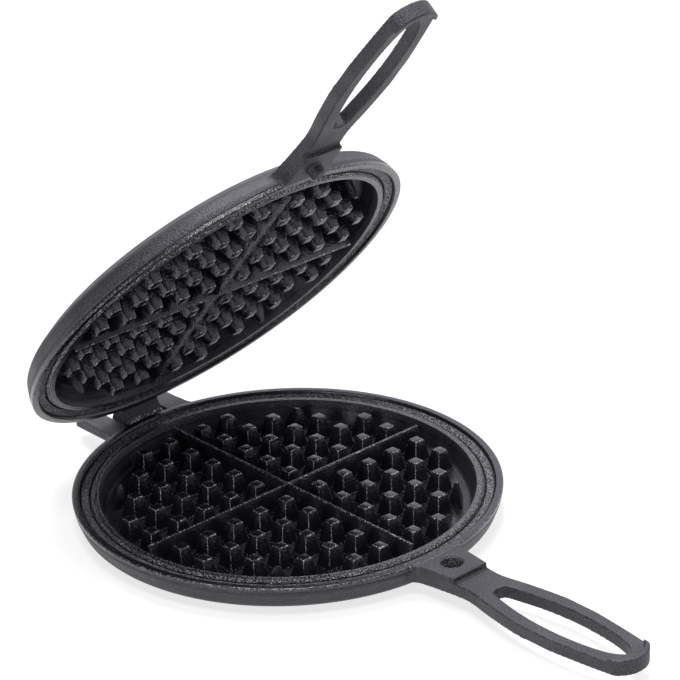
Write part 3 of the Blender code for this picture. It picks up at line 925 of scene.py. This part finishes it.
def fit(pieces, body, node, material):
    for piece in pieces:
        piece.data.materials.clear()
        piece.data.materials.append(material)
        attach(piece, body)
        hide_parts(node)


lowerIron = castIron("castIronLower", lowerPlace, wallShade=0.2, glintSpecks=0.6)
upperIron = castIron("castIronUpper", upperPlace, wallShade=0.75, glintSpecks=0.95)

lowerPieces = [
    dish("lower_dish", lowerPlace),
    grid("lower_grid", lowerPlace, 11),
    handle("lower_handle", lowerPlace, ("DIFFERENCE", studHole())),
    ears("lower_ears", lowerPlace),
]
fit(lowerPieces, "lower", "lower_plate", lowerIron)
print("lower plate made")

upperPieces = [
    dish("upper_dish", upperPlace),
    grid("upper_grid", upperPlace, 12),
    handle("upper_handle", upperPlace, ("UNION", stud())),
    knuckle("upper_knuckle", upperPlace),
]
fit(upperPieces, "upper", "upper_plate", upperIron)
print("upper plate made")

pin = frame["nodes"]["hinge_pin"]
pin.data.materials.clear()
pin.data.materials.append(drawnSteel("drawnSteel"))
print("pin dressed")

for piece in lowerPieces + upperPieces:
    print(piece.name, len(piece.data.polygons), "faces")


# The view was worked out from both rims, about 150 peg corners and the handles
view = {
    "place": (1.00993, -0.87025, 0.71596),
    "azimuth": math.radians(-41.97),
    "height": math.radians(25.01),
    "roll": math.radians(-1.77),
    "lens": 159.09,
    "sensor": 36.0,
}


# Floor, lights and camera

stageLook = {
    "size": 6.0,
    "floorShade": 0.35,
    "floorGlow": 0.74,
    "shadePlace": (-0.075, 0.090, 0.0),
    "shadeReach": (0.06, 0.16),
    "shadeLow": 0.2,
    "roomFront": 0.15,
    "roomBack": 1.15,
    "roomTurn": math.radians(-30),
    "roomRise": 0.3,
    "roomFade": (0.0, 0.65),
    "roomTint": (0.95, 0.94, 1.0, 1),
}


def seenOrMirrored(tree):
    rays = addNode(tree, "ShaderNodeLightPath").outputs
    seen = most(tree, rays["Is Camera Ray"], rays["Is Glossy Ray"])
    return most(tree, seen, rays["Is Transmission Ray"])


def paleFloor():
    bm = bmesh.new()
    bmesh.ops.create_grid(bm, x_segments=1, y_segments=1, size=stageLook["size"] / 2)
    mesh = bpy.data.meshes.new("floor")
    bm.to_mesh(mesh)
    bm.free()
    floor = bpy.data.objects.new("floor", mesh)
    scene.collection.objects.link(floor)
    material = bpy.data.materials.new("paleFloor")
    material.use_nodes = True
    tree = material.node_tree
    shader = tree.nodes["Principled BSDF"]
    shade = stageLook["floorShade"]
    shader.inputs["Base Color"].default_value = (shade, shade, shade, 1)
    shader.inputs["Roughness"].default_value = 1.0
    shader.inputs["Specular IOR Level"].default_value = 0.0
    shader.inputs["Emission Color"].default_value = (1, 1, 1, 1)
    coordinates = addNode(tree, "ShaderNodeTexCoord").outputs["Object"]
    ends = {0: coordinates, 1: stageLook["shadePlace"]}
    apart = addNode(tree, "ShaderNodeVectorMath", ends, operation="DISTANCE").outputs["Value"]
    seen = addNode(tree, "ShaderNodeLightPath").outputs["Is Camera Ray"]
    shaded = ramp(tree, apart, *stageLook["shadeReach"], stageLook["shadeLow"], 1)
    glow = times(tree, seenOrMirrored(tree), stageLook["floorGlow"])
    glow = times(tree, glow, most(tree, seen, shaded))
    tree.links.new(glow, shader.inputs["Emission Strength"])
    mesh.materials.append(material)


def paleWorld():
    # White to the camera. For the object: a bright backdrop behind it, a dim room in front
    world = bpy.data.worlds.new("paleWorld")
    scene.world = world
    world.use_nodes = True
    tree = world.node_tree
    background = tree.nodes["Background"]
    toward = addNode(tree, "ShaderNodeTexCoord").outputs["Generated"]
    parts = addNode(tree, "ShaderNodeSeparateXYZ", {0: toward}).outputs
    brightest = view["azimuth"] + stageLook["roomTurn"]
    alongX = times(tree, parts[0], -math.cos(brightest))
    alongY = times(tree, parts[1], -math.sin(brightest))
    toBack = calc(tree, "ADD", alongX, alongY)
    toBack = calc(tree, "ADD", toBack, times(tree, parts[2], stageLook["roomRise"]))
    tones = (stageLook["roomFront"], stageLook["roomBack"])
    room = ramp(tree, toBack, *stageLook["roomFade"], *tones)
    seen = addNode(tree, "ShaderNodeLightPath").outputs["Is Camera Ray"]
    tint = mixColor(tree, seen, stageLook["roomTint"], (1, 1, 1, 1))
    tree.links.new(mixValue(tree, seen, room, 1.0), background.inputs["Strength"])
    tree.links.new(tint, background.inputs["Color"])


lamps = {
    "topLight": {"at": (-0.25, 0.15, 1.45), "aim": (0.0, 0.0, 0.05), "size": 0.6, "watts": 16.0},
    "frontTopLight": {"at": (0.45, -0.50, 1.40), "aim": (0.0, 0.0, 0.05), "size": 0.35, "watts": 9.0},
    "frontLight": {"at": (0.30, -1.30, 0.30), "aim": (0.0, 0.0, 0.05), "size": 0.4, "watts": 4.0},
}


def softLamp(name, look):
    light = bpy.data.lights.new(name, "AREA")
    light.shape = "SQUARE"
    light.size = look["size"]
    light.energy = look["watts"]
    lamp = bpy.data.objects.new(name, light)
    scene.collection.objects.link(lamp)
    lamp.location = look["at"]
    aim = Vector(look["aim"]) - Vector(look["at"])
    lamp.rotation_euler = aim.to_track_quat("-Z", "Y").to_euler()


def photoCamera():
    azimuth = view["azimuth"]
    flat = math.cos(view["height"])
    back = Vector((math.cos(azimuth) * flat, math.sin(azimuth) * flat, math.sin(view["height"])))
    level = Vector((0, 0, 1)).cross(back).normalized()
    upright = back.cross(level)
    right = level * math.cos(view["roll"]) + upright * math.sin(view["roll"])
    up = back.cross(right)
    camera = bpy.data.cameras.new("camera")
    camera.lens = view["lens"]
    camera.sensor_width = view["sensor"]
    holder = bpy.data.objects.new("camera", camera)
    scene.collection.objects.link(holder)
    turn = Matrix((right, up, back)).transposed().to_4x4()
    holder.matrix_world = Matrix.Translation(view["place"]) @ turn
    scene.camera = holder


paleFloor()
paleWorld()
for name, look in lamps.items():
    softLamp(name, look)
photoCamera()
scene.view_settings.view_transform = "Standard"
print("stage set")
